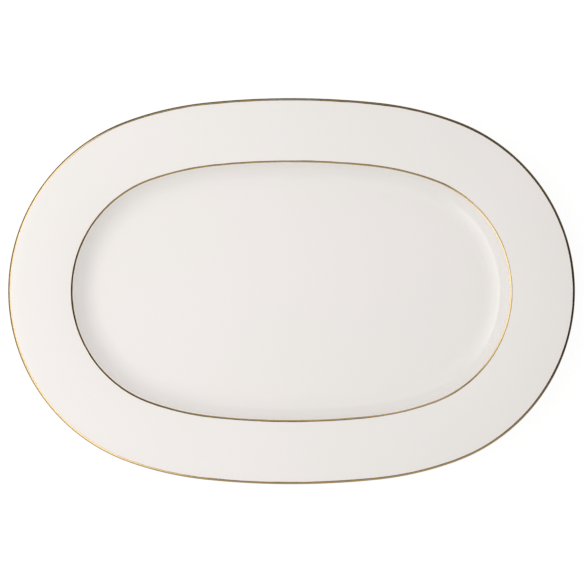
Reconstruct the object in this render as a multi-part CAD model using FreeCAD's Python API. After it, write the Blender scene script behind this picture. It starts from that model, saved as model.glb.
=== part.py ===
"""Oval serving platter in glazed hard porcelain, with a gilt lip and a gilt line at the shoulder.

One cross-section is carried round an eight-centre oval. The section is a polygon with rounded corners:
lip, gently arched rim, shoulder, well wall, flat well floor, and below them the underside and the foot
ring. Every layer of the piece follows it in parallel: the fired clay body, the dip coat of glaze, and the
two gold films on the glaze. The foot ring's seat is wiped clean before firing, so bare clay meets the
table, and the glaze is two coats: one over the outside, and one in the recess inside the foot ring.

Frame: origin on the table at the middle of the foot ring, X along the platter, Y across it, Z up.
Within the section, `inset` is the distance in from the glazed lip, seen from above.
Lengths are in millimetres and angles in degrees.
"""
import FreeCAD
import Part
import math
import os
from collections import namedtuple

# ---- plan: the oval of the glazed lip -------------------------------------------------------------------
LENGTH = 340.0
WIDTH = 231.6
END_RADIUS_SHORT = 7.0      # the two end arcs' radius falls short of half the width by this much
END_ARC_TO = 70.0           # the end arcs hand over to the blend arcs where the outline faces this way
SIDE_ARC_FROM = 84.0        # the blend arcs hand over to the long side arcs here

# ---- section: well and rim ------------------------------------------------------------------------------
RIM_WIDTH = 38.2            # lip to the shoulder's corner, in plan
RIM_SLOPE_AT_LIP = 1.0
RIM_SLOPE_AT_SHOULDER = 12.0
ARCH_RUN_OUT = 1.0          # straight run left between the rim's arch and the rounding at either end
SHOULDER_RADIUS = 2.6
WELL_DEPTH = 12.0           # shoulder's corner down to the well floor
WALL_SLOPE = 64.3
COVE_RADIUS = 16.0
LIP_THICKNESS = 3.6
LIP_RADIUS = 1.7
SHOULDER_THICKNESS = 4.4
WALL_THICKNESS = 4.6
FLOOR_THICKNESS = 4.8

# ---- section: underside and foot ring -------------------------------------------------------------------
FOOT_HEIGHT = 3.6           # table up to the ceiling of the recess
FOOT_JOIN_HEIGHT = 5.6      # table up to where the foot's outer side meets the body
FOOT_INSET = 3.2            # well wall's foot corner in to the middle of the foot's seat
SEAT_WIDTH = 3.8
FOOT_SIDE_SLOPE = 72.0
FOOT_EDGE_RADIUS = 0.9
FOOT_ROOT_RADIUS = 1.8
HEEL_SLOPE = 24.0           # underside between the wall and the foot
HEEL_RADIUS = 8.0
UNDER_SHOULDER_RADIUS = 7.0
CORE_MARGIN = 2.0           # flat floor kept between the cove and the plain core slab

# ---- glaze and gold -------------------------------------------------------------------------------------
GLAZE = 0.3
GOLD = 0.08                 # modelled film thickness
WIPED_HEIGHT = 1.3          # bare clay above the table
LIP_BAND_ON_TOP = 1.5       # lip band's reach in from the lip, on the upper side
LIP_BAND_BELOW = 0.9        # and on the underside
LINE_WIDTH = 1.1
LINE_FROM_SHOULDER = 0.5    # middle of the shoulder line to the shoulder's corner, towards the lip

# ---- printed back mark ----------------------------------------------------------------------------------
PRINT = 0.05                # modelled ink thickness
MARK_LENGTH = 30.0
MARK_WIDTH = 21.0
MARK_LINE = 0.5
INNER_RING_GAP = 1.2        # between the mark's two oval rings
INNER_RING_LINE = 0.3
BORDER_TICKS = 28           # short bars that join the two rings
TICK_WIDTH = 0.4
STEM_WIDTH = 0.5
LEAF_PAIRS = 3
LEAF_LENGTH = 4.8
LEAF_WIDTH = 1.9
LEAF_ANGLE = 48.0

UP = FreeCAD.Vector(0, 0, 1)
ORIGIN = FreeCAD.Vector(0, 0, 0)
BEYOND = 50.0               # how far cutting windows reach past the section

Corner = namedtuple("Corner", "inset height radius")
Arc = namedtuple("Arc", "centre radius facing sweep")


# ---- the oval -------------------------------------------------------------------------------------------
def facing(angle):
    """Unit vector of a plan direction."""
    return FreeCAD.Vector(math.cos(math.radians(angle)), math.sin(math.radians(angle)), 0)


def oval_arcs():
    """The eight tangent arcs of the glazed lip, each with its centre, radius, first facing angle and sweep.

    The blend and side radii follow from closing one quadrant of the outline at half the length and half
    the width, which is a pair of linear equations.
    """
    half_length, half_width = LENGTH / 2, WIDTH / 2
    end_radius = half_width - END_RADIUS_SHORT
    first, second = facing(END_ARC_TO), facing(SIDE_ARC_FROM)
    x_blend, x_side = second.x - first.x, -second.x
    y_blend, y_side = second.y - first.y, 1 - second.y
    x_sum = end_radius - half_length - end_radius * first.x
    y_sum = half_width - end_radius * first.y
    scale = x_blend * y_side - x_side * y_blend
    blend_radius = (x_sum * y_side - x_side * y_sum) / scale
    side_radius = (x_blend * y_sum - x_sum * y_blend) / scale

    end = FreeCAD.Vector(half_length - end_radius, 0, 0)
    blend = end + first * (end_radius - blend_radius)
    side = FreeCAD.Vector(0, half_width - side_radius, 0)
    blend_sweep = SIDE_ARC_FROM - END_ARC_TO
    arcs = []
    for turn in (0, 180):
        spin = FreeCAD.Rotation(UP, turn)
        left_blend = FreeCAD.Vector(-blend.x, blend.y, 0)
        arcs += [
            Arc(spin.multVec(end), end_radius, turn - END_ARC_TO, 2 * END_ARC_TO),
            Arc(spin.multVec(blend), blend_radius, turn + END_ARC_TO, blend_sweep),
            Arc(spin.multVec(side), side_radius, turn + SIDE_ARC_FROM, 2 * (90 - SIDE_ARC_FROM)),
            Arc(spin.multVec(left_blend), blend_radius, turn + 180 - SIDE_ARC_FROM, blend_sweep),
        ]
    return arcs


def oval_face(arcs, inset, height):
    """Flat face bounded by the oval lying `inset` inside the lip, at that height."""
    edges = []
    for arc in arcs:
        radius = arc.radius - inset
        points = [
            arc.centre + facing(arc.facing + arc.sweep * share) * radius + UP * height
            for share in (0, 0.5, 1)
        ]
        edges.append(Part.Arc(*points).toShape())
    return Part.Face(Part.Wire(edges))


def carry_round(section, arcs):
    """Rings made by carrying a section face round the oval, one revolved stretch to each arc."""
    stretches = []
    for arc in arcs:
        face = section.translated(FreeCAD.Vector(arc.radius, 0, 0))
        stretch = face.revolve(ORIGIN, UP, arc.sweep)
        stretch.rotate(ORIGIN, UP, arc.facing)
        stretch.translate(arc.centre)
        stretches.append(stretch)
    return stretches


# ---- the section ----------------------------------------------------------------------------------------
def line_at(point, slope):
    """A line through an (inset, height) point that falls inwards at a slope, as (point, direction)."""
    return point, (math.cos(math.radians(slope)), -math.sin(math.radians(slope)))


def shifted(line, distance):
    """The parallel line that lies the distance below a line, or above it if negative."""
    (inset, height), (run, fall) = line
    return (inset + fall * distance, height - run * distance), (run, fall)


def crossing(one, two):
    """The (inset, height) point where two lines cross."""
    (x1, y1), (dx1, dy1) = one
    (x2, y2), (dx2, dy2) = two
    along = ((x2 - x1) * dy2 - (y2 - y1) * dx2) / (dx1 * dy2 - dy1 * dx2)
    return x1 + along * dx1, y1 + along * dy1


def half_turn(one, two):
    """Half the angle between the directions of two lines, in radians."""
    (_, (dx1, dy1)), (_, (dx2, dy2)) = one, two
    return math.acos(max(-1, min(1, dx1 * dx2 + dy1 * dy2))) / 2


def arch_radius(lip_line, outer, inner, end_line, end_radius, width):
    """Radius of the arch between two rim lines that meet half-way across `width`, leaving room for the
    lip's rounding at one end and for a rounding of `end_radius` at the other."""
    lip_reach = LIP_RADIUS * math.tan(half_turn(lip_line, outer))
    end_reach = end_radius * math.tan(half_turn(inner, end_line))
    room = width / 2 - max(lip_reach, end_reach) - ARCH_RUN_OUT
    return room / math.tan(half_turn(outer, inner))


def wall_foot():
    """Inset where the well wall's line meets the floor's line."""
    return RIM_WIDTH + WELL_DEPTH / math.tan(math.radians(WALL_SLOPE))


def core_inset():
    """Inset where the carried section ends and the flat core slab starts."""
    cove_tangent = COVE_RADIUS * math.tan(math.radians(WALL_SLOPE / 2))
    foot_end = FOOT_INSET + SEAT_WIDTH / 2 + FOOT_HEIGHT
    return wall_foot() + max(cove_tangent, foot_end) + CORE_MARGIN


def glazed_corners():
    """Corners of the glazed section, from the floor round the lip to the recess, counted as if the glaze
    ran under the foot's seat too."""
    floor = FOOT_HEIGHT + FLOOR_THICKNESS
    shoulder = (RIM_WIDTH, floor + WELL_DEPTH)
    wall = line_at(shoulder, WALL_SLOPE)
    inner_rim = line_at(shoulder, RIM_SLOPE_AT_SHOULDER)
    crown = crossing(inner_rim, ((RIM_WIDTH / 2, 0), (0, 1)))
    outer_rim = line_at(crown, RIM_SLOPE_AT_LIP)
    lip_top = crossing(outer_rim, ((0, 0), (0, 1)))
    lip_under = (0, lip_top[1] - LIP_THICKNESS)

    under_wall = shifted(wall, WALL_THICKNESS)
    under_inner = shifted(inner_rim, SHOULDER_THICKNESS)
    under_shoulder = crossing(under_inner, under_wall)
    under_crown = crossing(under_inner, ((under_shoulder[0] / 2, 0), (0, 1)))
    fall = math.degrees(math.atan2(lip_under[1] - under_crown[1], under_crown[0]))
    under_outer = line_at(under_crown, fall)
    top_arch = arch_radius(((0, 0), (0, 1)), outer_rim, inner_rim, wall, SHOULDER_RADIUS, RIM_WIDTH)
    under_arch = arch_radius(
        ((0, 0), (0, -1)), under_outer, under_inner, under_wall, UNDER_SHOULDER_RADIUS, under_shoulder[0]
    )
    seat_middle = wall_foot() + FOOT_INSET
    seat_outer, seat_inner = seat_middle - SEAT_WIDTH / 2, seat_middle + SEAT_WIDTH / 2
    foot_outer = ((seat_outer, 0), (-math.cos(math.radians(FOOT_SIDE_SLOPE)), 1))
    foot_inner = ((seat_inner, 0), (math.cos(math.radians(FOOT_SIDE_SLOPE)), 1))
    join = crossing(foot_outer, ((0, FOOT_JOIN_HEIGHT), (1, 0)))
    heel = line_at(join, HEEL_SLOPE)
    ceiling = ((0, FOOT_HEIGHT), (1, 0))
    seat = ((0, -GLAZE), (1, 0))

    return [
        Corner(core_inset(), floor, 0),
        Corner(wall_foot(), floor, COVE_RADIUS),
        Corner(*shoulder, SHOULDER_RADIUS),
        Corner(*crown, top_arch),
        Corner(*lip_top, LIP_RADIUS),
        Corner(*lip_under, LIP_RADIUS),
        Corner(*under_crown, under_arch),
        Corner(*under_shoulder, UNDER_SHOULDER_RADIUS),
        Corner(*crossing(under_wall, heel), HEEL_RADIUS),
        Corner(*join, FOOT_ROOT_RADIUS),
        Corner(*crossing(foot_outer, seat), FOOT_EDGE_RADIUS + GLAZE),
        Corner(*crossing(foot_inner, seat), FOOT_EDGE_RADIUS + GLAZE),
        Corner(*crossing(foot_inner, ceiling), FOOT_ROOT_RADIUS),
        Corner(core_inset(), FOOT_HEIGHT, 0),
    ]


def parallel(corners, growth):
    """The same closed section with its sides moved outwards by `growth` and its roundings kept parallel.

    The corners run clockwise as seen with the lip on the right. The last side, which closes the section
    where it meets the core slab, stays in place.
    """
    sides = []
    for here, there in zip(corners, corners[1:] + corners[:1]):
        run, rise = there.inset - here.inset, there.height - here.height
        size = math.hypot(run, rise)
        run, rise = run / size, rise / size
        shift = growth if here is not corners[-1] else 0
        sides.append(((here.inset + rise * shift, here.height - run * shift), (run, rise)))
    moved = []
    for number, corner in enumerate(corners):
        before, after = sides[number - 1], sides[number]
        turn = before[1][0] * after[1][1] - before[1][1] * after[1][0]
        change = math.copysign(1, turn) * growth
        radius = corner.radius and corner.radius + change
        moved.append(Corner(*crossing(before, after), radius))
    return moved


def section_point(inset, height):
    """A section point in the XZ plane, with the lip at X = 0 and the platter's inside at negative X."""
    return FreeCAD.Vector(-inset, 0, height)


def section_face(corners):
    """Face of a closed polygon with rounded corners."""
    edges, ends = [], []
    for number, corner in enumerate(corners):
        here = section_point(corner.inset, corner.height)
        before, after = corners[number - 1], corners[(number + 1) % len(corners)]
        back = (section_point(before.inset, before.height) - here).normalize()
        ahead = (section_point(after.inset, after.height) - here).normalize()
        if not corner.radius:
            ends.append((here, here, None))
            continue
        half_opening = back.getAngle(ahead) / 2
        tangent = corner.radius / math.tan(half_opening)
        towards_centre = (back + ahead).normalize()
        nearest = here + towards_centre * (corner.radius / math.sin(half_opening) - corner.radius)
        start, end = here + back * tangent, here + ahead * tangent
        ends.append((start, end, Part.Arc(start, nearest, end).toShape()))
    for number, (start, _, rounding) in enumerate(ends):
        edges.append(Part.LineSegment(ends[number - 1][1], start).toShape())
        if rounding:
            edges.append(rounding)
    return Part.Face(Part.Wire(edges))


def window(inset_from, inset_to, height_from, height_to):
    """Rectangular section face, used to keep part of a layer."""
    corners = [
        section_point(inset_from, height_from),
        section_point(inset_to, height_from),
        section_point(inset_to, height_to),
        section_point(inset_from, height_to),
    ]
    return Part.Face(Part.makePolygon(corners + corners[:1]))


def layer(outer, inner, keep):
    """Section faces of the layer between two parallel sections, inside the window, outermost first."""
    faces = outer.cut(inner).common(keep).Faces
    return sorted(faces, key=lambda face: -face.BoundBox.XMax)


# ---- the pieces -----------------------------------------------------------------------------------------
def one_solid(pieces):
    """The pieces fused into one solid, with the seams between coplanar and coaxial faces removed."""
    fused = pieces[0].multiFuse(pieces[1:]).removeSplitter()
    return fused.Solids[0] if len(fused.Solids) == 1 else fused


def core_slab(arcs, bottom, top):
    """Flat slab that fills the middle of a layer."""
    return oval_face(arcs, core_inset(), bottom).extrude(UP * (top - bottom))


def make_layers(arcs):
    """Clay body, glaze coats and gold films, by node name."""
    glazed = glazed_corners()
    above_table = window(-BEYOND, core_inset() + BEYOND, 0, BEYOND)
    clay = section_face(parallel(glazed, -GLAZE)).common(above_table).Faces[0]
    coat = section_face(glazed)
    above_wipe = window(-BEYOND, core_inset(), WIPED_HEIGHT, BEYOND)
    outside_coat, recess_coat = layer(coat, clay, above_wipe)

    gilt = section_face(parallel(glazed, GOLD))
    floor = FOOT_HEIGHT + FLOOR_THICKNESS
    lip = max(glazed, key=lambda corner: corner.height).height
    lip_middle = lip - LIP_THICKNESS / 2
    lip_window = window(-BEYOND, LIP_BAND_ON_TOP, lip_middle, BEYOND).fuse(
        window(-BEYOND, LIP_BAND_BELOW, lip_middle - LIP_THICKNESS, lip_middle)
    )
    lip_band = layer(gilt, coat, lip_window)
    line_inset = RIM_WIDTH - LINE_FROM_SHOULDER
    line_window = window(
        line_inset - LINE_WIDTH / 2,
        line_inset + LINE_WIDTH / 2,
        floor + WELL_DEPTH - SHOULDER_THICKNESS / 2,
        BEYOND,
    )
    shoulder_line = layer(gilt, coat, line_window)

    ceiling, clay_ceiling = FOOT_HEIGHT, FOOT_HEIGHT + GLAZE
    return {
        "porcelain_body": one_solid(carry_round(clay, arcs) + [core_slab(arcs, clay_ceiling, floor - GLAZE)]),
        "outer_glaze": one_solid(carry_round(outside_coat, arcs) + [core_slab(arcs, floor - GLAZE, floor)]),
        "foot_recess_glaze": one_solid(
            carry_round(recess_coat, arcs) + [core_slab(arcs, ceiling, clay_ceiling)]
        ),
        "lip_gold_band": one_solid([ring for face in lip_band for ring in carry_round(face, arcs)]),
        "shoulder_gold_line": one_solid([ring for face in shoulder_line for ring in carry_round(face, arcs)]),
    }


def ellipse_ring(length, width, line):
    """Flat ellipse about the origin, drawn as a line of that width inside its outline."""
    outside, inside = (
        Part.Face(Part.Wire(Part.Ellipse(ORIGIN, length / 2 - cut, width / 2 - cut).toShape()))
        for cut in (0, line)
    )
    return outside.cut(inside).Faces[0]


def bar_face(start, end, width):
    """Flat straight bar of that width between two plan points."""
    side = UP.cross(end - start).normalize() * (width / 2)
    return Part.Face(Part.makePolygon([start - side, end - side, end + side, start + side, start - side]))


def leaf_face(length, width):
    """Pointed leaf from the origin along X, between two equal arcs."""
    tip = FreeCAD.Vector(length, 0, 0)
    sides = [
        Part.Arc(ORIGIN, FreeCAD.Vector(length / 2, side * width / 2, 0), tip).toShape() for side in (1, -1)
    ]
    return Part.Face(Part.Wire(sides))


def make_back_mark():
    """Printed mark in the recess: two oval rings joined by ticks round a leafy sprig, with no lettering."""
    inner_length = MARK_LENGTH - 2 * (MARK_LINE + INNER_RING_GAP)
    inner_width = MARK_WIDTH - 2 * (MARK_LINE + INNER_RING_GAP)
    outer_ring = ellipse_ring(MARK_LENGTH, MARK_WIDTH, MARK_LINE)
    inner_ring = ellipse_ring(inner_length, inner_width, INNER_RING_LINE)
    strokes = [outer_ring, inner_ring]
    for tick in range(BORDER_TICKS):
        angle = 2 * math.pi * (tick + 0.5) / BORDER_TICKS
        share = 1 - MARK_LINE / MARK_WIDTH
        outside = FreeCAD.Vector(
            MARK_LENGTH / 2 * share * math.cos(angle), MARK_WIDTH / 2 * share * math.sin(angle), 0
        )
        share = 1 - INNER_RING_LINE / inner_width
        inside = FreeCAD.Vector(
            inner_length / 2 * share * math.cos(angle), inner_width / 2 * share * math.sin(angle), 0
        )
        strokes.append(bar_face(inside, outside, TICK_WIDTH))

    stem_start = FreeCAD.Vector(-(inner_length - INNER_RING_LINE) / 2, 0, 0)
    tip_start = FreeCAD.Vector(inner_length / 2 - 2 * INNER_RING_GAP - LEAF_LENGTH, 0, 0)
    strokes.append(bar_face(stem_start, tip_start + facing(0) * (LEAF_LENGTH / 4), STEM_WIDTH))
    strokes.append(leaf_face(LEAF_LENGTH, LEAF_WIDTH).translated(tip_start))
    for pair in range(LEAF_PAIRS):
        foot = stem_start + (tip_start - stem_start) * ((pair + 1) / (LEAF_PAIRS + 1))
        for side in (1, -1):
            leaf = leaf_face(LEAF_LENGTH, LEAF_WIDTH)
            leaf.rotate(ORIGIN, UP, side * LEAF_ANGLE)
            leaf.translate(foot)
            strokes.append(leaf)
    printed = [stroke.extrude(UP * -PRINT) for stroke in strokes]
    mark = one_solid(printed)
    mark.translate(UP * FOOT_HEIGHT)
    return mark


def main():
    """Builds every piece, prints its volume and writes its STEP file."""
    os.makedirs("parts", exist_ok=True)
    pieces = make_layers(oval_arcs())
    pieces["back_mark_print"] = make_back_mark()
    for name, shape in pieces.items():
        box = shape.optimalBoundingBox(True, False)
        print(
            f"{name}: {len(shape.Solids)} solid, {len(shape.Faces)} faces, {shape.Volume:.1f} mm3,",
            f"valid {shape.isValid()},",
            f"box {box.XLength:.2f} x {box.YLength:.2f}, z {box.ZMin:.2f} to {box.ZMax:.2f}",
        )
        shape.exportStep(f"parts/{name}.step")


main()
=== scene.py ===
"""Oval porcelain serving platter with a gilt lip and a gilt shoulder line, lying on a pale studio floor.

The body, the two coats of glaze and the two rings of gilding are surfaces worked out on a grid. One
direction of the grid follows a cross-section of straight lines and tangent arcs, and the other goes round an
oval of eight tangent arcs. The pieces lie where the solid model has them, and take its overall size from it.
Section sizes are in millimetres, and everything that reaches a mesh is in metres.
"""
import logging
import math
from dataclasses import dataclass, field
from enum import Enum

import bpy
import numpy as np
from numpy.typing import NDArray
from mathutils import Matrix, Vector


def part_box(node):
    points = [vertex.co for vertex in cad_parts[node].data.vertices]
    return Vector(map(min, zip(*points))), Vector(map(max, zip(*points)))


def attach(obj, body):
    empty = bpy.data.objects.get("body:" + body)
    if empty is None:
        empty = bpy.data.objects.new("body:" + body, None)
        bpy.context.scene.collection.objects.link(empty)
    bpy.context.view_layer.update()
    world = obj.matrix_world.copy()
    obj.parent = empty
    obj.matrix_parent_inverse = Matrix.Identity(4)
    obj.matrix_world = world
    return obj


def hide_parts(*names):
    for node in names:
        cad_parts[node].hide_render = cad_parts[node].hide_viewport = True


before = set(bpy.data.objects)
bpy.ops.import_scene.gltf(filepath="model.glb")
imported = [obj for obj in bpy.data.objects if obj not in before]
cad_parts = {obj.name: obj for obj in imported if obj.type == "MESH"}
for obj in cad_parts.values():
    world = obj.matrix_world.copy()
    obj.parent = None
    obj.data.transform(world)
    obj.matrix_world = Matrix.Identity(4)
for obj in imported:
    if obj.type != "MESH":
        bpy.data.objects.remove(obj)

Array = NDArray[np.float64]

MM = 0.001
LOG = logging.getLogger("platter")


# ---- shape: the oval and the section ----
@dataclass(frozen=True)
class Stations:
    """Evenly spaced stations round the lip.

    Args:
        centre: plan centre of the arc that each station lies on, one row each.
        outward: unit direction in which the lip faces at each station.
        radius: radius of the arc of the lip.
    """

    centre: Array
    outward: Array
    radius: Array

    def ring(self, inset: Array, height: Array, shrink: Array | float = 1.0) -> Array:
        """Carries section points round the oval.

        A point is: shrink x (arc centre + outward x (arc radius - inset)), at its height. Lines parallel to
        the lip share its arc centres, so this is exact for every inset up to the smallest radius.

        Args:
            inset: distance in from the lip, one value for each row, or one for each row and station.
            height: height above the table, shaped like inset.
            shrink: share of the plan distance from the platter's middle, one value for each row.

        Returns:
            Points in metres, rows by stations by three.
        """
        rows = len(inset)
        inset = np.broadcast_to(np.asarray(inset, float).reshape(rows, -1), (rows, len(self.radius)))
        height = np.broadcast_to(np.asarray(height, float).reshape(rows, -1), inset.shape)
        plan = self.centre + self.outward * (self.radius - inset)[..., None]
        plan = plan * np.broadcast_to(shrink, (rows,))[:, None, None]
        return np.concatenate([plan, height[..., None]], axis=2) * MM


@dataclass(frozen=True)
class OvalPlan:
    """The glazed lip in plan: an oval of two end arcs, four blend arcs and two side arcs, all tangent."""

    length: float
    width: float
    end_radius_short: float = 7.0
    end_arc_to: float = 70.0
    side_arc_from: float = 84.0

    def quadrant(self) -> tuple[Array, Array]:
        """Works out the end, blend and side arcs of the first quadrant.

        The chain of centres has to end on the Y axis and the outline at half the width, which gives two
        linear equations for the blend radius and the side radius.

        Returns:
            The three plan centres, one row each, and the three radii.
        """
        half_length, half_width = self.length / 2, self.width / 2
        end_radius = half_width - self.end_radius_short
        turns = np.radians([self.end_arc_to, self.side_arc_from])
        first, second = np.stack([np.cos(turns), np.sin(turns)], axis=1)
        left = [[second[0] - first[0], -second[0]], [second[1] - first[1], 1 - second[1]]]
        right = [end_radius - half_length - end_radius * first[0], half_width - end_radius * first[1]]
        blend_radius, side_radius = np.linalg.solve(left, right)
        end = np.array([half_length - end_radius, 0.0])
        blend = end + (end_radius - blend_radius) * first
        side = np.array([0.0, half_width - side_radius])
        return np.stack([end, blend, side]), np.array([end_radius, blend_radius, side_radius])

    def stations(self, count: int) -> Stations:
        """Places stations at equal distances along the lip, starting at the right-hand end arc.

        Args:
            count: number of stations.

        Returns:
            The stations, in order of the direction they face.
        """
        centres, radii = self.quadrant()
        order = np.array([0, 1, 2, 1, 0, 1, 2, 1])
        signs = np.array([[1, 1], [1, 1], [1, 1], [-1, 1], [-1, 1], [-1, -1], [-1, -1], [1, -1]])
        to, start = self.end_arc_to, self.side_arc_from
        top = [-to, to, start, 180 - start, 180 - to]
        facing = np.array([*top, 180 + to, 180 + start, 360 - start, 360 - to])
        lengths = radii[order] * np.radians(np.diff(facing))
        joints = np.concatenate([[0.0], np.cumsum(lengths)])
        travelled = np.arange(count) * joints[-1] / count
        arc = np.searchsorted(joints, travelled, side="right") - 1
        turn = np.radians(facing[arc]) + (travelled - joints[arc]) / radii[order][arc]
        return Stations(
            centre=(centres[order] * signs)[arc],
            outward=np.stack([np.cos(turn), np.sin(turn)], axis=1),
            radius=radii[order][arc],
        )


@dataclass(frozen=True)
class Trace:
    """A sampled stretch of section: points and outward normals as (inset, height), and distance along it."""

    points: Array
    normals: Array

    @property
    def travelled(self) -> Array:
        """Distance along the trace at each point."""
        steps = np.linalg.norm(np.diff(self.points, axis=0), axis=1)
        return np.concatenate([[0.0], np.cumsum(steps)])

    def reversed(self) -> "Trace":
        """The same trace, run the other way."""
        return Trace(self.points[::-1], self.normals[::-1])

    def at(self, travelled: Array, lift: Array | float = 0.0) -> tuple[Array, Array]:
        """Finds points along the trace, raised along its normal.

        Args:
            travelled: distances along the trace.
            lift: height above the trace at each of them.

        Returns:
            The insets and the heights, shaped like travelled.
        """
        along = self.travelled
        inset, height, lean, rise = (
            np.interp(travelled, along, values) for values in (*self.points.T, *self.normals.T)
        )
        return inset + lean * lift, height + rise * lift

    def hollowness(self, spread: float) -> Array:
        """How deep in a hollow each point lies, from 0 on flats and rounded-over edges to 1.

        The turn of the trace is counted where it is concave and averaged over its neighbours with a bell
        curve `spread` wide. Liquid glaze gathers in the same places, but the glaze's tint there is painted
        warm shade.

        Args:
            spread: width of the bell curve, as a distance along the trace.

        Returns:
            One value for each point.
        """
        along = self.travelled
        angle = np.unwrap(np.arctan2(self.normals[:, 1], self.normals[:, 0]))
        bend = np.clip(np.diff(angle, prepend=angle[0]), 0, None)
        bell = np.exp(-0.5 * ((along[:, None] - along[None, :]) / spread) ** 2)
        hollow_shade = bell @ bend
        return hollow_shade / hollow_shade.max()


class Stretch(Enum):
    """Stretches of the section that different pieces follow."""

    WHOLE = "well floor, round the lip, underside, foot and recess"
    OUTSIDE = "well floor, round the lip and down to the wiped edge outside the foot"
    RECESS = "wiped edge inside the foot to the recess ceiling"


@dataclass(frozen=True)
class Section:
    """Cross-section of the glazed platter, as a chain of corners with rounding radii, in millimetres."""

    rim_width: float = 38.2
    rim_slope_at_lip: float = 1.0
    rim_slope_at_shoulder: float = 12.0
    arch_run_out: float = 1.0
    shoulder_radius: float = 2.6
    well_depth: float = 12.0
    wall_slope: float = 64.3
    cove_radius: float = 16.0
    lip_thickness: float = 3.6
    lip_radius: float = 1.7
    shoulder_thickness: float = 4.4
    wall_thickness: float = 4.6
    floor_thickness: float = 4.8
    foot_height: float = 3.6
    foot_join_height: float = 5.6
    foot_inset: float = 3.2
    seat_width: float = 3.8
    foot_side_slope: float = 72.0
    foot_edge_radius: float = 0.9
    foot_root_radius: float = 1.8
    heel_slope: float = 24.0
    heel_radius: float = 8.0
    under_shoulder_radius: float = 7.0
    core_margin: float = 2.0
    glaze: float = 0.3
    wiped_height: float = 1.3

    @staticmethod
    def falling(slope: float) -> Array:
        """Direction of a line that falls inwards at a slope, as (inset, height)."""
        return np.array([math.cos(math.radians(slope)), -math.sin(math.radians(slope))])

    @staticmethod
    def crossing(point: Array, way: Array, other: Array, other_way: Array) -> Array:
        """Crosses two lines, by solving point + a x way = other + b x other_way."""
        along = np.linalg.solve(np.stack([way, -other_way], axis=1), other - point)[0]
        return point + along * way

    @staticmethod
    def straight(start: Array, end: Array, run: float) -> Array:
        """Evenly spaced points on a straight side, without its end, at most `run` apart."""
        pieces = max(1, math.ceil(float(np.linalg.norm(end - start)) / run))
        return start + (end - start) * np.linspace(0, 1, pieces + 1)[:-1, None]

    def arch_radius(
        self, edge: Array, outer: Array, inner: Array, end: Array, end_radius: float, width: float
    ) -> float:
        """Radius of the rim's arch between two lines that meet half-way across the rim.

        Args:
            edge: direction of the lip's side.
            outer: direction of the rim's outer line.
            inner: direction of its inner line.
            end: direction of the wall.
            end_radius: rounding between the inner line and the wall.
            width: width of the rim in plan.

        Returns:
            The radius that leaves `arch_run_out` of straight line beside the nearer rounding.
        """
        def half_turn(one: Array, two: Array) -> float:
            """Half the angle between two directions."""
            return math.acos(float(np.clip(one @ two, -1, 1))) / 2

        lip_reach = self.lip_radius * math.tan(half_turn(edge, outer))
        end_reach = end_radius * math.tan(half_turn(inner, end))
        room = width / 2 - max(lip_reach, end_reach) - self.arch_run_out
        return room / math.tan(half_turn(outer, inner))

    @property
    def floor_height(self) -> float:
        """Height of the well floor above the table."""
        return self.foot_height + self.floor_thickness

    @property
    def wall_foot(self) -> float:
        """Inset where the wall's line meets the floor's."""
        return self.rim_width + self.well_depth / math.tan(math.radians(self.wall_slope))

    @property
    def core_inset(self) -> float:
        """Inset where the plain flat middle begins, past both the cove and the foot.

        Returns:
            The inset.
        """
        cove = self.cove_radius * math.tan(math.radians(self.wall_slope / 2))
        foot = self.foot_inset + self.seat_width / 2 + self.foot_height
        return self.wall_foot + max(cove, foot) + self.core_margin

    def corners(self, stretch: Stretch) -> Array:
        """Lists the corners of a stretch, with the top and underside of the rim running nearly parallel.

        Args:
            stretch: which part of the section.

        Returns:
            One row for each corner: inset, height and rounding radius.
        """
        upright = np.array([0.0, 1.0])
        shoulder = np.array([self.rim_width, self.floor_height + self.well_depth])
        wall, inner = self.falling(self.wall_slope), self.falling(self.rim_slope_at_shoulder)
        outer = self.falling(self.rim_slope_at_lip)
        crown = self.crossing(shoulder, inner, np.array([self.rim_width / 2, 0.0]), upright)
        lip_top = self.crossing(crown, outer, np.zeros(2), upright)
        lip_under = lip_top - upright * self.lip_thickness

        under_wall = shoulder + np.array([wall[1], -wall[0]]) * self.wall_thickness
        under_inner = shoulder + np.array([inner[1], -inner[0]]) * self.shoulder_thickness
        under_shoulder = self.crossing(under_inner, inner, under_wall, wall)
        half_way = np.array([under_shoulder[0] / 2, 0.0])
        under_crown = self.crossing(under_inner, inner, half_way, upright)
        under_outer = (under_crown - lip_under) / np.linalg.norm(under_crown - lip_under)
        top_arch = self.arch_radius(upright, outer, inner, wall, self.shoulder_radius, self.rim_width)
        under_arch = self.arch_radius(
            -upright, under_outer, inner, wall, self.under_shoulder_radius, under_shoulder[0]
        )

        seat = self.wall_foot + self.foot_inset
        lean = math.cos(math.radians(self.foot_side_slope))
        foot_outer, foot_inner = np.array([-lean, 1.0]), np.array([lean, 1.0])
        outer_toe = np.array([seat - self.seat_width / 2, 0.0])
        inner_toe = np.array([seat + self.seat_width / 2, 0.0])
        join = outer_toe + foot_outer * self.foot_join_height
        heel = self.crossing(under_wall, wall, join, self.falling(self.heel_slope))
        ceiling = inner_toe + foot_inner * self.foot_height

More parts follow.
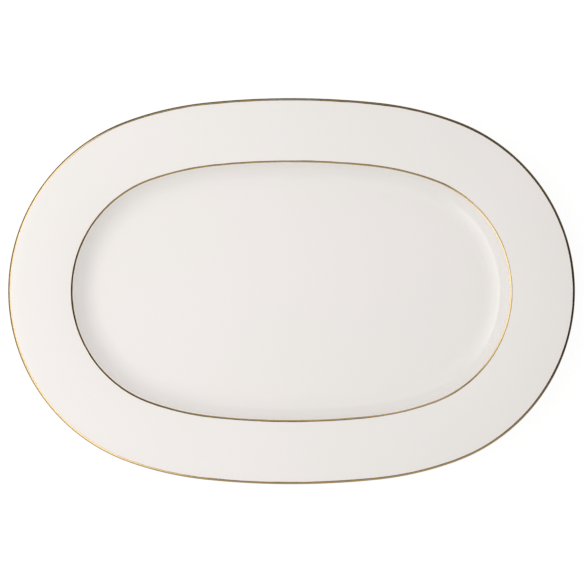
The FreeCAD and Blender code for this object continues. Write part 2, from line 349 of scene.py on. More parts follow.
        top = [
            (self.core_inset, self.floor_height, 0.0),
            (self.wall_foot, self.floor_height, self.cove_radius),
            (*shoulder, self.shoulder_radius),
            (*crown, top_arch),
            (*lip_top, self.lip_radius),
            (*lip_under, self.lip_radius),
            (*under_crown, under_arch),
            (*under_shoulder, self.under_shoulder_radius),
            (*heel, self.heel_radius),
            (*join, self.foot_root_radius),
        ]
        recess = [(*ceiling, self.foot_root_radius), (self.core_inset, self.foot_height, 0.0)]
        toe_radius = self.foot_edge_radius + self.glaze
        if stretch is Stretch.OUTSIDE:
            return np.array([*top, (*(outer_toe + foot_outer * self.wiped_height), 0.0)])
        if stretch is Stretch.RECESS:
            return np.array([(*(inner_toe + foot_inner * self.wiped_height), 0.0), *recess])
        toes = [
            (*(outer_toe - foot_outer * self.glaze), toe_radius),
            (*(inner_toe - foot_inner * self.glaze), toe_radius),
        ]
        return np.array([*top, *toes, *recess])

    def trace(self, stretch: Stretch, growth: float = 0.0, turn_step: float = 5.0, run: float = 2.5) -> Trace:
        """Samples a stretch, or a line parallel to it.

        Every side is moved outwards by `growth` along its normal, neighbouring sides are crossed again for
        the corners, and a rounding's radius grows by the same amount where it bulges and shrinks where it is
        hollow. On a rounding, a point at turn t is: start + radius x (sin t x way in + (1 - cos t) x way to
        the centre).

        Args:
            stretch: which part of the section.
            growth: distance outwards from the glazed surface, negative into the body.
            turn_step: largest turn between samples on a rounding, in degrees.
            run: largest distance between samples.

        Returns:
            The sampled trace.
        """
        corners = self.corners(stretch)
        steps = np.diff(corners[:, :2], axis=0)
        ways = steps / np.linalg.norm(steps, axis=1)[:, None]
        outwards = np.stack([ways[:, 1], -ways[:, 0]], axis=1)
        starts = corners[:-1, :2] + outwards * growth
        moved = [corners[0, :2] + outwards[0] * growth]
        for lines in zip(starts, ways, starts[1:], ways[1:]):
            moved.append(self.crossing(*lines))
        moved.append(corners[-1, :2] + outwards[-1] * growth)

        points, normals, here = [], [], moved[0]
        for number, way in enumerate(ways[:-1]):
            following = ways[number + 1]
            turn = math.acos(float(np.clip(way @ following, -1, 1)))
            side = math.copysign(1.0, way[0] * following[1] - way[1] * following[0])
            radius = corners[number + 1, 2] + side * growth
            to_centre = side * np.array([-way[1], way[0]])
            start = moved[number + 1] - way * radius * math.tan(turn / 2)
            parts = 1 + max(math.ceil(math.degrees(turn) / turn_step), math.ceil(radius * turn / run))
            turns = np.linspace(0, turn, parts + 1)[:, None]
            arc = start + radius * (np.sin(turns) * way + (1 - np.cos(turns)) * to_centre)
            headings = np.cos(turns) * way + np.sin(turns) * to_centre
            arc_normals = np.stack([headings[:, 1], -headings[:, 0]], axis=1)
            flat = self.straight(here, start, run)
            points += [flat, arc[:-1]]
            normals += [np.broadcast_to(outwards[number], flat.shape), arc_normals[:-1]]
            here = arc[-1]
        flat = self.straight(here, moved[-1], run)
        points += [flat, moved[-1][None]]
        normals.append(np.broadcast_to(outwards[-1], (len(flat) + 1, 2)))
        return Trace(np.concatenate(points), np.concatenate(normals))


# ---- meshes ----
@dataclass
class Skin:
    """A closed surface on a grid of rows that each go all the way round.

    Args:
        name: object name.
        rows: grid points in metres, rows by stations by three.
        looped: whether the last row joins the first, as on a ring.
        values: named shades for each row, kept as point attributes.
    """

    name: str
    rows: Array
    looped: bool = False
    values: dict[str, Array] = field(default_factory=dict)

    def faces(self) -> tuple[NDArray[np.int32], NDArray[np.int32]]:
        """Joins neighbouring grid points, and closes an open grid with a fan at each end.

        A quad takes (row, station), the next row, the next row and station, and the next station. With the
        rows running outwards over the top and the stations anticlockwise, that faces outwards. The fans use
        one pole point each, stored after the grid.

        Returns:
            The corner points of the quads and of the triangles, one row for each face.
        """
        count, around = self.rows.shape[:2]
        index = np.arange(count * around, dtype=np.int32).reshape(count, around)
        beside = np.roll(index, -1, axis=1)
        if self.looped:
            ahead, ahead_beside = np.roll(index, -1, axis=0), np.roll(beside, -1, axis=0)
            quads = np.stack([index, ahead, ahead_beside, beside], axis=2).reshape(-1, 4)
            return quads, np.zeros((0, 3), np.int32)
        quads = np.stack([index[:-1], index[1:], beside[1:], beside[:-1]], axis=2).reshape(-1, 4)
        first, last = np.full(around, count * around), np.full(around, count * around + 1)
        start_fan = np.stack([first, index[0], beside[0]], axis=1)
        end_fan = np.stack([index[-1], last, beside[-1]], axis=1)
        return quads, np.concatenate([start_fan, end_fan]).astype(np.int32)

    def build(self) -> bpy.types.Object:
        """Makes the mesh object, smooth shaded.

        Returns:
            The new object, linked to the scene, with its place in its mesh.
        """
        count, around = self.rows.shape[:2]
        quads, fans = self.faces()
        points = self.rows.reshape(-1, 3)
        if not self.looped:
            points = np.concatenate([points, self.rows[[0, -1]].mean(axis=1)])
        corners = np.concatenate([quads.ravel(), fans.ravel()])
        sizes = np.repeat([4, 3], [len(quads), len(fans)])
        mesh = bpy.data.meshes.new(self.name)
        mesh.vertices.add(len(points))
        mesh.vertices.foreach_set("co", points.astype(np.float32).ravel())
        mesh.loops.add(len(corners))
        mesh.loops.foreach_set("vertex_index", corners.astype(np.int32))
        mesh.polygons.add(len(sizes))
        mesh.polygons.foreach_set("loop_start", np.concatenate([[0], np.cumsum(sizes)[:-1]]).astype(np.int32))
        mesh.polygons.foreach_set("use_smooth", np.ones(len(sizes), bool))
        mesh.update(calc_edges=True)
        for name, shade in self.values.items():
            spread = np.broadcast_to(shade.reshape(count, -1), (count, around)).ravel()
            if not self.looped:
                spread = np.concatenate([spread, [spread[0], spread[-1]]])
            layer = mesh.attributes.new(name, "FLOAT", "POINT")
            layer.data.foreach_set("value", spread.astype(np.float32))
        mesh.validate()
        return linked(self.name, mesh)


# ---- shader helpers ----
class Value:
    """A shader number: an output socket whose arithmetic adds Math nodes."""

    def __init__(self, graph: "Graph", socket: bpy.types.NodeSocket) -> None:
        """Keeps the socket and the graph that it belongs to."""
        self.graph = graph
        self.socket = socket

    def __add__(self, other: "Value | float") -> "Value":
        """self + other."""
        return self.graph.maths("ADD", self, other)

    def __radd__(self, other: float) -> "Value":
        """other + self."""
        return self.graph.maths("ADD", other, self)

    def __sub__(self, other: "Value | float") -> "Value":
        """self - other."""
        return self.graph.maths("SUBTRACT", self, other)

    def __rsub__(self, other: float) -> "Value":
        """other - self."""
        return self.graph.maths("SUBTRACT", other, self)

    def __mul__(self, other: "Value | float") -> "Value":
        """self x other."""
        return self.graph.maths("MULTIPLY", self, other)

    def __rmul__(self, other: float) -> "Value":
        """other x self."""
        return self.graph.maths("MULTIPLY", other, self)

    def __pow__(self, other: "Value | float") -> "Value":
        """self to the power of other."""
        return self.graph.maths("POWER", self, other)

    def ramp(self, low: float, high: float) -> "Value":
        """An S-shaped rise from 0 at low to 1 at high.

        Args:
            low: the input that gives 0, which may be the larger of the two.
            high: the input that gives 1.

        Returns:
            The risen value, flat outside the two.
        """
        if low > high:
            return 1.0 - self.ramp(high, low)
        return self.graph.node(
            "ShaderNodeMapRange",
            {"interpolation_type": "SMOOTHSTEP", "clamp": True},
            {"Value": self, "From Min": low, "From Max": high},
        )


Colour = tuple[float, float, float]
Feed = Value | float | Colour


class Graph:
    """Builds the nodes of one material or world."""

    def __init__(self, tree: bpy.types.NodeTree) -> None:
        """Starts from an empty node tree."""
        self.tree = tree
        tree.nodes.clear()

    def node(
        self,
        kind: str,
        settings: dict[str, object] | None = None,
        feeds: dict[str | int, Feed] | None = None,
        output: str | int = 0,
    ) -> Value:
        """Adds one node.

        Args:
            kind: the node's type name.
            settings: properties to set first.
            feeds: value or link for each input socket, by name or number.
            output: which output to hand back.

        Returns:
            The chosen output, or the first input where the node has no output.
        """
        made = self.tree.nodes.new(kind)
        for name, setting in (settings or {}).items():
            setattr(made, name, setting)
        for name, feed in (feeds or {}).items():
            socket = made.inputs[name]
            if isinstance(feed, Value):
                self.tree.links.new(feed.socket, socket)
            elif isinstance(feed, tuple) and len(socket.default_value) == 4:
                socket.default_value = (*feed, 1.0)
            else:
                socket.default_value = feed
        return Value(self, made.outputs[output]) if len(made.outputs) else Value(self, made.inputs[0])

    def maths(self, operation: str, *feeds: Value | float) -> Value:
        """A Math node on one to three numbers."""
        return self.node("ShaderNodeMath", {"operation": operation}, dict(enumerate(feeds)))

    def blend(self, share: Value | float, one: Feed, two: Feed) -> Value:
        """Mixes colour one towards colour two by share."""
        return self.node("ShaderNodeMix", {"data_type": "RGBA"}, {0: share, 6: one, 7: two}, output=2)

    def place(self) -> Value:
        """Object coordinates, which are the piece's own, in metres."""
        return self.node("ShaderNodeTexCoord", output="Object")

    def attribute(self, name: str) -> Value:
        """A shade that the mesh carries."""
        return self.node("ShaderNodeAttribute", {"attribute_name": name}, output="Fac")

    def noise(
        self, place: Value, size: float, detail: float = 2.0, stretch: Colour = (1.0, 1.0, 1.0)
    ) -> Value:
        """Soft noise from 0 to 1.

        Args:
            place: coordinates to read.
            size: width of one blotch in metres.
            detail: layers of finer noise.
            stretch: how much longer the blotches are along X, Y and Z.

        Returns:
            The noise value.
        """
        scale = tuple(1.0 / (size * part) for part in stretch)
        moved = self.node("ShaderNodeVectorMath", {"operation": "MULTIPLY"}, {0: place, 1: scale})
        return self.node("ShaderNodeTexNoise", {}, {"Vector": moved, "Scale": 1.0, "Detail": detail})

    def relief(self, height: Value, depth: float, strength: float = 1.0) -> Value:
        """Small relief for a shader's normal.

        Args:
            height: relief in units of the depth.
            depth: the unit, in metres.
            strength: share of the relief that shows.

        Returns:
            The bent normal.
        """
        return self.node("ShaderNodeBump", {}, {"Strength": strength, "Distance": depth, "Height": height})

    def surface(self, feeds: dict[str | int, Feed]) -> None:
        """Ends the material in a Principled shader with these values and links."""
        shader = self.node("ShaderNodeBsdfPrincipled", {}, feeds)
        self.node("ShaderNodeOutputMaterial", {}, {"Surface": shader})


def linked(name: str, data: bpy.types.ID) -> bpy.types.Object:
    """Makes an object that shows a mesh, a lamp or a lens, and puts it in the scene.

    Args:
        name: object name.
        data: what it shows.

    Returns:
        The new object, at the origin.
    """
    made = bpy.data.objects.new(name, data)
    bpy.context.scene.collection.objects.link(made)
    return made


def new_material(name: str) -> tuple[bpy.types.Material, Graph]:
    """Makes an empty material and the graph that fills it.

    Args:
        name: the material's name.

    Returns:
        The material and its graph.
    """
    material = bpy.data.materials.new(name)
    material.use_nodes = True
    return material, Graph(material.node_tree)


def dress(piece: bpy.types.Object, material: bpy.types.Material) -> None:
    """Gives a piece its one material."""
    piece.data.materials.clear()
    piece.data.materials.append(material)


# ---- finishes ----
@dataclass(frozen=True)
class GlazeFinish:
    """Clear gloss glaze over warm white porcelain."""

    white: Colour = (0.86, 0.835, 0.82)
    drift: Colour = (0.85, 0.83, 0.81)
    # Painted shade: a darker, warmer tint for the hollows, standing in for light bounced round them.
    hollow_shade: Colour = (0.85, 0.80, 0.75)
    speck: Colour = (0.42, 0.34, 0.25)
    gloss: float = 0.07
    drift_size: float = 0.09
    # How strongly the painted warm shade shows in the deepest hollows.
    hollow_shade_share: float = 0.35
    speck_spacing: float = 0.016
    speck_radius: float = 0.00022
    scuff_size: float = 0.004
    peel_size: float = 0.006
    peel_depth: float = 0.0000035

    def material(self) -> bpy.types.Material:
        """Mixes the glaze: slow drift of tone, painted warm shade in the hollows, rare specks, faint orange
        peel.

        Returns:
            The material.
        """
        material, graph = new_material("gloss_glaze")
        place = graph.place()
        drift = graph.noise(place, self.drift_size, 1.0)
        colour = graph.blend(drift.ramp(0.35, 0.65), self.white, self.drift)
        # Painted shade: the hollows turn darker and warmer, standing in for light bounced round them.
        colour = graph.blend(graph.attribute("hollow") * self.hollow_shade_share, colour, self.hollow_shade)
        rare = graph.noise(place, 0.05, 0.0).ramp(0.66, 0.70)
        cells = {"Vector": place, "Scale": 1.0 / self.speck_spacing}
        edge = self.speck_radius / self.speck_spacing
        specks = graph.node("ShaderNodeTexVoronoi", {}, cells, "Distance").ramp(edge, 0.5 * edge) * rare
        colour = graph.blend(specks * 0.6, colour, self.speck)
        scuffs = graph.noise(place, self.scuff_size, 4.0, (6.0, 1.0, 1.0)).ramp(0.60, 0.85)
        rough = self.gloss + 0.02 * graph.noise(place, 0.03) + 0.05 * scuffs
        peel = graph.noise(place, self.peel_size, 1.0) + 0.5 * graph.noise(place, 3 * self.peel_size, 0.0)
        bump = graph.relief(peel - specks * 4, self.peel_depth)
        graph.surface({"Base Color": colour, "Roughness": rough, "IOR": 1.5, "Normal": bump})
        return material


@dataclass(frozen=True)
class BareClayFinish:
    """Unglazed porcelain, ground smooth on the seat and faintly soiled by use."""

    clay: Colour = (0.80, 0.77, 0.71)
    soil: Colour = (0.47, 0.42, 0.35)
    roughness: float = 0.62
    grain_size: float = 0.0005
    grain_depth: float = 0.00005
    soil_size: float = 0.02

    def material(self) -> bpy.types.Material:
        """Mixes the clay: fine grain, and patches that use has soiled and smoothed.

        Returns:
            The material.
        """
        material, graph = new_material("bare_clay")
        place = graph.place()
        grain = graph.noise(place, self.grain_size, 2.0)
        soil = graph.noise(place, self.soil_size, 4.0).ramp(0.45, 0.80)
        colour = graph.blend(soil * 0.28, self.clay, self.soil)
        colour = graph.blend(grain.ramp(0.55, 0.8) * 0.2, colour, self.soil)
        bump = graph.relief(grain, self.grain_depth, 0.5)
        graph.surface({"Base Color": colour, "Roughness": self.roughness - 0.15 * soil, "Normal": bump})
        return material


@dataclass(frozen=True)
class GildingFinish:
    """Bright gold, banded on by brush, with the brush's faint laps and a few rubbed spots."""

    gold: Colour = (0.82, 0.60, 0.30)
    thin: Colour = (0.72, 0.54, 0.33)
    polish: float = 0.20
    stroke_length: float = 0.012
    strokes_across: float = 2.5
    patch_size: float = 0.011
    rub_size: float = 0.0006
    film_relief: float = 0.000006

    def material(self) -> bpy.types.Material:
        """Mixes the gold from brush streaks that run along the ring, patches of thin film and fine rub marks.

        Returns:
            The material.
        """
        material, graph = new_material("bright_gold")
        place = graph.place()
        x, y = (graph.node("ShaderNodeSeparateXYZ", {}, {0: place}, axis) for axis in "XY")
        stroke = 1.0 / self.stroke_length
        feeds = {"X": x * stroke, "Y": y * stroke, "Z": graph.attribute("across") * self.strokes_across}
        lay = graph.node("ShaderNodeCombineXYZ", {}, feeds)
        streak = graph.node("ShaderNodeTexNoise", {}, {"Vector": lay, "Scale": 1.0, "Detail": 3.0})
        thin = graph.noise(place, self.patch_size, 3.0).ramp(0.50, 0.78)
        colour = graph.blend(thin * 0.6 + streak.ramp(0.5, 0.8) * 0.3, self.gold, self.thin)
        rough = self.polish + 0.14 * streak + 0.12 * thin
        bump = graph.relief(streak + 0.4 * graph.noise(place, self.rub_size, 1.0), self.film_relief, 0.6)
        graph.surface({"Base Color": colour, "Metallic": 1.0, "Roughness": rough, "Normal": bump})
        return material


@dataclass(frozen=True)
class InkFinish:
    """Grey-green ceramic ink, printed and fired under a thin gloss."""

    ink: Colour = (0.13, 0.20, 0.16)
    worn: Colour = (0.36, 0.42, 0.37)
    gloss: float = 0.18
    patch_size: float = 0.0008
    density_size: float = 0.008

    def material(self) -> bpy.types.Material:
        """Mixes the ink, with the slightly uneven density of a transfer print.

        Returns:
            The material.
        """
        material, graph = new_material("ceramic_ink")
        place = graph.place()
        patchy = graph.noise(place, self.patch_size, 3.0).ramp(0.45, 0.75)
        slow = graph.noise(place, self.density_size, 1.0)
        colour = graph.blend(patchy * 0.5 + slow * 0.25, self.ink, self.worn)
        graph.surface({"Base Color": colour, "Roughness": self.gloss + 0.1 * patchy})
        return material


# ---- pieces ----
@dataclass
class CeramicPiece:
    """What the body and the glaze coats share: a section carried round the oval, closed at the middle."""

    plan: OvalPlan
    section: Section
    around: int = 480
    core_rows: int = 4
    inner_step: float = 14.0
    hollow_spread: float = 2.5

    def closed_skin(self, name: str, traces: list[Trace]) -> bpy.types.Object:
        """Closes a chain of traces over the flat middle at both ends.

        Row k of the middle's n rows lies at the share k / (n + 1) of the way from its pole to its outline.

        Args:
            name: object name.
            traces: the traces in order, the first starting and the last ending at the middle's outline.

        Returns:
            The new object.
        """
        points = np.concatenate([trace.points for trace in traces])
        hollow = np.concatenate([trace.hollowness(self.hollow_spread) for trace in traces])
        middle = np.arange(1, self.core_rows + 1) / (self.core_rows + 1)
        shares = np.concatenate([middle, np.ones(len(points)), middle[::-1]])
        hollow = np.pad(hollow, self.core_rows)
        points = np.pad(points, ((self.core_rows, self.core_rows), (0, 0)), mode="edge")
        rows = self.plan.stations(self.around).ring(points[:, 0], points[:, 1], shares)
        return Skin(name, rows, values={"hollow": hollow}).build()

    @staticmethod
    def rounded_end(trace: Trace, thickness: float, at_start: bool = False) -> Trace:
        """Rounds a coat's edge down to what it lies on.

        Within `thickness` x 1.6 of the end, the surface drops by thickness x (1 - the square root of
        (1 - closeness squared)), which is a quarter ellipse.

        Args:
            trace: the coat's outer surface.
            thickness: the coat's thickness.
            at_start: rounds the start in place of the end.

        Returns:
            The trace with its end rounded.
        """
        along = trace.travelled if at_start else trace.travelled[-1] - trace.travelled
        closeness = np.clip(1 - along / (1.6 * thickness), 0, 1)
        drop = thickness * (1 - np.sqrt(1 - closeness**2))
        return Trace(trace.points - trace.normals * drop[:, None], trace.normals)


@dataclass
class FiredBody(CeramicPiece):
    """The porcelain body, bare only on the foot's seat."""

    turn_step: float = 7.0
    finish: BareClayFinish = field(default_factory=BareClayFinish)

    def build(self) -> bpy.types.Object:
        """Builds and dresses the body.

        Returns:
            The body object.
        """
        trace = self.section.trace(Stretch.WHOLE, -self.section.glaze, turn_step=self.turn_step)
        piece = self.closed_skin("fired_body", [trace])
        dress(piece, self.finish.material())
        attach(piece, "root")
        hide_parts("porcelain_body")
        return piece


@dataclass
class GlazeCoats(CeramicPiece):
    """The two coats of glaze that the wiped seat keeps apart."""

    around: int = 384
    finish: GlazeFinish = field(default_factory=GlazeFinish)

    def build(self) -> list[bpy.types.Object]:
        """Builds both coats with one finish.

        Returns:
            The outside coat and the recess coat.
        """
        material = self.finish.material()
        pieces = [self.outside(), self.recess()]
        for piece, node in zip(pieces, ("outer_glaze", "foot_recess_glaze")):
            dress(piece, material)
            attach(piece, "root")
            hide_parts(node)
        return pieces

    def outside(self) -> bpy.types.Object:
        """Builds the coat from the well floor round the lip to the foot.

        It runs out along its face and back along the clay.

        Returns:
            The coat.
        """
        glaze = self.section.glaze
        face = self.rounded_end(self.section.trace(Stretch.OUTSIDE, run=1.4, turn_step=4.0), glaze)
        back = self.section.trace(Stretch.OUTSIDE, -glaze, turn_step=self.inner_step, run=12.0)
        return self.closed_skin("outside_glaze", [face, back.reversed()])

    def recess(self) -> bpy.types.Object:
        """Builds the coat inside the foot ring, which runs out along the clay and back along its face.

        Returns:
            The coat.
        """
        glaze = self.section.glaze
        face = self.rounded_end(self.section.trace(Stretch.RECESS, run=0.8), glaze, at_start=True)
        back = self.section.trace(Stretch.RECESS, -glaze, turn_step=self.inner_step, run=6.0)
        return self.closed_skin("recess_glaze", [back.reversed(), face])


class Banding(Enum):
    """The two rings of gold."""

    LIP = "lip_gold_band"
    SHOULDER = "shoulder_gold_line"


@dataclass
class GildedRing:
    """A ring of gold film that follows the glaze, with edges as uneven as a steady hand leaves them."""

    plan: OvalPlan
    section: Section
    banding: Banding
    material: bpy.types.Material
    name: str
    seed: int
    around: int = 1500
    face_rows: int = 33
    hidden_rows: int = 7
    film: float = 0.05
    sunk: float = 0.03
    edge_wander: float = 0.05
    edge_waves: int = 90
    edge_roll_off: float = 0.6
    lip_on_top: float = 1.5
    lip_below: float = 0.9
    line_width: float = 1.1
    line_from_shoulder: float = 0.5

    def limits(self, trace: Trace) -> tuple[float, float]:
        """Where the ring starts and ends along the section.

        Args:
            trace: the glazed section, from the well floor round the lip.

        Returns:
            The two distances along it.
        """
        inset, along = trace.points[:, 0], trace.travelled
        lip = int(np.argmin(inset))

        def on_top(value: float) -> float:
            """Distance along the trace to an inset on the top side."""
            return float(np.interp(-value, -inset[:lip], along[:lip]))

        if self.banding is Banding.LIP:
            below = float(np.interp(self.lip_below, inset[lip:], along[lip:]))
            return on_top(self.lip_on_top), below
        middle = self.section.rim_width - self.line_from_shoulder
        return on_top(middle + self.line_width / 2), on_top(middle - self.line_width / 2)

    def wander(self, seed: int) -> Array:
        """A smooth, closed unevenness of one edge, as a hand leaves, with an average size of `edge_wander`.

        It is the sum, over k from 2 to `edge_waves`, of cos(k x turn + a random start) divided by k to the
        power `edge_roll_off`, divided by the sum's own spread.

        Args:
            seed: picks the random starts, so that the same seed gives the same hand.

        Returns:
            One value for each station, in millimetres.
        """
        starts = np.random.default_rng(seed).uniform(0, 2 * math.pi, self.edge_waves - 1)
        orders = np.arange(2, self.edge_waves + 1)
        turn = 2 * math.pi * np.arange(self.around) / self.around
        total = (np.cos(turn[:, None] * orders + starts) * orders ** -self.edge_roll_off).sum(axis=1)
        return self.edge_wander * total / total.std()

    def build(self) -> bpy.types.Object:
        """Builds and dresses the ring.

        At share t across the ring, from -1 to 1, the distance along the section is the ring's middle plus
        t x its half width, and both edges wander separately. The outer face stands film x (1 - t to the
        eighth) above the glaze, with its rows closer together towards the edges (t = sin of equal steps from
        -90 to 90 degrees). The hidden face lies `sunk` below the glaze.

        Returns:
            The ring object.
        """
        trace = self.section.trace(Stretch.OUTSIDE, turn_step=3.0, run=1.0)
        start, end = self.limits(trace)
        stations = self.plan.stations(self.around)
        start_edge, end_edge = start + self.wander(self.seed), end + self.wander(self.seed + 1)
        shares = np.sin(np.linspace(-math.pi / 2, math.pi / 2, self.face_rows))
        share = np.concatenate([shares, np.linspace(1, -1, self.hidden_rows)])[:, None]
        lift = np.concatenate([self.film * (1 - shares**8), np.full(self.hidden_rows, -self.sunk)])[:, None]
        travelled = (start_edge + end_edge) / 2 + share * (end_edge - start_edge) / 2
        inset, height = trace.at(travelled, np.broadcast_to(lift, travelled.shape))
        rows = stations.ring(inset, height)
        piece = Skin(self.name, rows, looped=True, values={"across": share}).build()
        dress(piece, self.material)
        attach(piece, "root")
        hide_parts(self.banding.value)
        return piece


@dataclass
class BackMark:
    """The printed mark in the recess. Its flat solid is shown as it is, in ink."""

    node: str = "back_mark_print"
    finish: InkFinish = field(default_factory=InkFinish)

    def build(self) -> bpy.types.Object:
        """Dresses the mark's own node.

        Returns:
            The mark object.
        """
        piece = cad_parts[self.node]
        dress(piece, self.finish.material())
        return piece


# ---- studio ----
@dataclass(frozen=True)
class MirroredScreen:
    """A bright screen that only polished surfaces mirror, on the left and round to the front.

    In plan its foot runs straight along the left, turns through a quarter circle and runs on along the front.
    It leans in a little towards the platter, is brightest along its foot, and fades towards both ends.
    """

    foot: tuple[float, float] = (-0.25, -0.32)
    bend: float = 0.2
    back: float = 0.44
    front_end: float = -0.03
    lean: float = 0.05
    low: float = 0.117
    high: float = 0.60
    fade_back: float = 0.36
    fade_front: float = 0.20
    glow: float = 2.9
    share_at_top: float = 0.2
    colour: Colour = (1.0, 0.975, 0.93)
    steps: int = 60

    def mesh(self) -> tuple[bpy.types.Mesh, float]:
        """Makes the strip between the screen's foot and its top edge.

        At turn t of the bend, a foot point is: corner + bend x (1 - cos t, 1 - sin t), moved back along Y on
        the straight and on along X past the bend. The top edge lies `lean` further in.

        Returns:
            The mesh, with its distance along and its rise as point attributes, and its length.
        """
        bend, corner = self.bend, np.array(self.foot)
        straight, arc = self.back - corner[1] - bend, bend * math.pi / 2
        length = straight + arc + self.front_end - corner[0] - bend
        along = np.linspace(0, length, self.steps + 1)
        turn = np.clip((along - straight) / bend, 0, math.pi / 2)
        plan = corner + bend * np.stack([1 - np.cos(turn), 1 - np.sin(turn)], axis=1)
        plan[:, 0] += np.clip(along - straight - arc, 0, None)
        plan[:, 1] += np.clip(straight - along, 0, None)
        inwards = np.stack([np.cos(turn), np.sin(turn)], axis=1) * self.lean
        foot = np.column_stack([plan, np.full(len(along), self.low)])
        top = np.column_stack([plan + inwards, np.full(len(along), self.high)])
        index = np.arange(self.steps)
        quads = np.stack([index, index + 1, index + 1 + len(along), index + len(along)], axis=1)
        mesh = bpy.data.meshes.new("mirrored_screen")
        mesh.from_pydata(np.concatenate([foot, top]).tolist(), [], quads.tolist())
        shades = {"along": np.tile(along, 2), "rise": np.repeat([0.0, 1.0], len(along))}
        for name, shade in shades.items():
            mesh.attributes.new(name, "FLOAT", "POINT").data.foreach_set("value", shade.astype(np.float32))
        return mesh, length

    def cloth(self, length: float) -> bpy.types.Material:
        """Mixes the glow, which fades with the square of the rise and towards the ends.

        Args:
            length: length of the screen along its foot.

        Returns:
            The material.
        """
        material, graph = new_material("screen_cloth")
        far = graph.attribute("along")
        ends = far.ramp(0.0, self.fade_back) * far.ramp(length, length - self.fade_front)
        share = self.share_at_top
        glow = ends * (share + (1 - share) * (1.0 - graph.attribute("rise")) ** 2.0)
        black = (0.0, 0.0, 0.0)
        graph.surface({
            "Base Color": black,
            "Specular IOR Level": 0.0,
            "Emission Color": graph.blend(glow, black, self.colour),
            "Emission Strength": self.glow,
        })
        return material

    def build(self) -> bpy.types.Object:
        """Builds and dresses the screen.

        Returns:
            The screen object.
        """
        mesh, length = self.mesh()
        screen = linked("mirrored_screen", mesh)
        dress(screen, self.cloth(length))
        screen.visible_camera = False
        screen.visible_diffuse = False
        screen.visible_shadow = False
        return screen


@dataclass(frozen=True)
class Room:
    """An even dome for matt surfaces, walls for polished ones to mirror, and a backdrop for the camera."""

    dome: Colour = (0.70, 0.6895, 0.6825)
    backdrop: Colour = (1.0, 1.0, 1.0)
    gloom: float = 0.035
    front_wall: float = 0.40
    left_wall: float = 0.24
    back_wall: float = 0.20
    back_wall_foot: float = 0.45
    far_corner: float = 0.10
    warmth: Colour = (1.0, 0.97, 0.93)

    def build(self) -> bpy.types.World:
        """Lights the set from all round.

        Polished surfaces mirror a room that is dim on the left, paler in front and behind, and dark on the
        right. Each wall is an S-shaped rise of how far the view points towards its azimuth.

        Returns:
            The world.
        """
        world = bpy.data.worlds.new("soft_studio")
        world.use_nodes = True
        graph = Graph(world.node_tree)
        view = graph.node("ShaderNodeTexCoord", output="Generated")
        x, y, z = (graph.node("ShaderNodeSeparateXYZ", {}, {0: view}, axis) for axis in "XYZ")

        def towards(azimuth: float) -> Value:
            """How far the view points towards an azimuth, from -1 to 1."""
            turn = math.radians(azimuth)
            return x * math.cos(turn) + y * math.sin(turn)

        front = towards(264).ramp(0.15, 0.75) * self.front_wall
        left = towards(190).ramp(0.3, 0.9) * self.left_wall
        behind = towards(165).ramp(0.0, 0.3) * towards(75).ramp(0.0, 0.3) * z.ramp(0.26, 0.32)
        behind = behind * (self.back_wall + self.back_wall_foot * z.ramp(0.75, 0.55))
        corner = towards(60).ramp(0.5, 0.9) * self.far_corner
        room = self.gloom + front + behind + corner + left
        channels = {number: room * tint for number, tint in enumerate(self.warmth)}
        mirrored = graph.node("ShaderNodeCombineColor", {}, channels)
        rays = "ShaderNodeLightPath"
        light = graph.blend(graph.node(rays, output="Is Glossy Ray"), self.dome, mirrored)
        light = graph.blend(graph.node(rays, output="Is Camera Ray"), light, self.backdrop)
        background = graph.node("ShaderNodeBackground", {}, {"Color": light, "Strength": 1.0})
        graph.node("ShaderNodeOutputWorld", {}, {"Surface": background})
        world.cycles.sampling_method = "NONE"
        bpy.context.scene.world = world
        return world


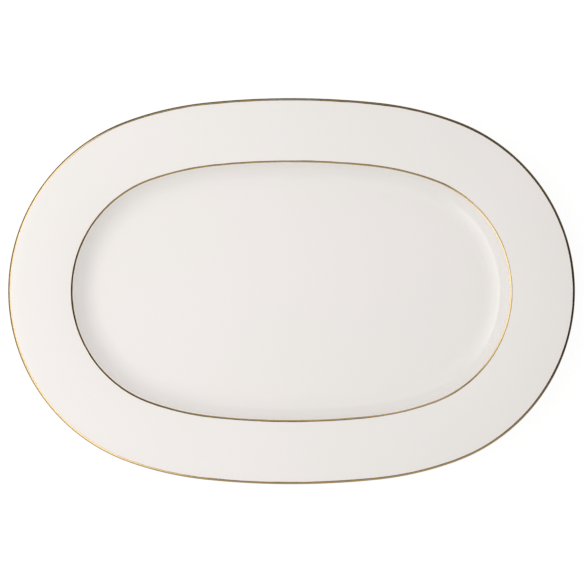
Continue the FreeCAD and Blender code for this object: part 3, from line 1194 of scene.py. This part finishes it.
@dataclass(frozen=True)
class Studio:
    """A pale floor, the room and its screen, a soft light on the left and a camera straight above."""

    room: Room = field(default_factory=Room)
    screen: MirroredScreen = field(default_factory=MirroredScreen)
    floor_size: float = 8.0
    floor_level: float = -0.0002
    floor_tone: Colour = (0.25, 0.25, 0.25)
    floor_glow: float = 0.80
    side_power: float = 1.5
    side_place: tuple[float, float, float] = (-0.25, 0.0, 0.5)
    side_size: float = 0.6
    side_colour: Colour = (1.0, 0.985, 0.965)
    camera_distance: float = 1.2
    view_width: float = 0.3493
    camera_shift: tuple[float, float] = (-0.00003, -0.0002)
    sensor_width: float = 36.0
    clip: tuple[float, float] = (0.05, 50.0)

    def floor(self) -> bpy.types.Object:
        """A large pale floor just under the foot, part lit and part glowing so that it stays pale.

        It is clear from below, so that the underside can be looked at.

        Returns:
            The floor object.
        """
        half = self.floor_size / 2
        corners = [(x * half, y * half, self.floor_level) for x, y in ((-1, -1), (1, -1), (1, 1), (-1, 1))]
        mesh = bpy.data.meshes.new("studio_floor")
        mesh.from_pydata(corners, [], [(0, 1, 2, 3)])
        floor = linked("studio_floor", mesh)
        material, graph = new_material("pale_floor")
        feeds = {
            "Base Color": self.floor_tone,
            "Roughness": 0.9,
            "Specular IOR Level": 0.0,
            "Emission Color": (1.0, 1.0, 1.0),
            "Emission Strength": self.floor_glow,
        }
        pale = graph.node("ShaderNodeBsdfPrincipled", {}, feeds)
        clear = graph.node("ShaderNodeBsdfTransparent")
        from_below = graph.node("ShaderNodeNewGeometry", output="Backfacing")
        surface = graph.node("ShaderNodeMixShader", {}, {0: from_below, 1: pale, 2: clear})
        graph.node("ShaderNodeOutputMaterial", {}, {"Surface": surface})
        dress(floor, material)
        floor.visible_glossy = False
        return floor

    def side_light(self) -> bpy.types.Object:
        """A square soft light high on the left, which fades across the platter.

        Returns:
            The light object.
        """
        lamp = bpy.data.lights.new("side_softbox", "AREA")
        lamp.shape = "SQUARE"
        lamp.size = self.side_size
        lamp.energy = self.side_power
        lamp.color = self.side_colour
        light = linked("side_softbox", lamp)
        light.location = self.side_place
        x, _, z = self.side_place
        light.rotation_euler = (0.0, math.atan2(x, z), 0.0)
        light.visible_glossy = False
        light.visible_camera = False
        return light

    def camera(self, lip_height: float) -> bpy.types.Object:
        """A camera that looks straight down and takes in `view_width` at the lip's height.

        Args:
            lip_height: height of the lip above the table, in metres.

        Returns:
            The camera object.
        """
        lens = bpy.data.cameras.new("overhead_camera")
        lens.sensor_width = self.sensor_width
        lens.lens = self.sensor_width * self.camera_distance / self.view_width
        lens.clip_start, lens.clip_end = self.clip
        camera = linked("overhead_camera", lens)
        camera.location = (*self.camera_shift, lip_height + self.camera_distance)
        bpy.context.scene.camera = camera
        return camera

    def build(self, lip_height: float) -> None:
        """Sets the whole studio up round the platter.

        Args:
            lip_height: height of the lip above the table, in metres.
        """
        self.floor()
        self.room.build()
        self.screen.build()
        self.side_light()
        self.camera(lip_height)
        bpy.context.scene.view_settings.view_transform = "Standard"
        LOG.info("studio: camera %.2f m above the lip", self.camera_distance)


def main() -> None:
    """Builds the platter's pieces in order, then the studio."""
    logging.basicConfig(level=logging.INFO, format="%(name)s: %(message)s")
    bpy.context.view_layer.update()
    low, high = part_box("outer_glaze")
    plan = OvalPlan(length=(high.x - low.x) / MM, width=(high.y - low.y) / MM)
    section = Section()
    gold = GildingFinish().material()

    pieces = [FiredBody(plan, section).build(), *GlazeCoats(plan, section).build()]
    pieces.append(GildedRing(plan, section, Banding.LIP, gold, "gilt_lip", seed=11).build())
    pieces.append(GildedRing(plan, section, Banding.SHOULDER, gold, "gilt_shoulder", seed=23).build())
    pieces.append(BackMark().build())
    for piece in pieces:
        LOG.info("%s: %d faces", piece.name, len(piece.data.polygons))

    Studio().build(high.z)


if __name__ == "__main__":
    main()
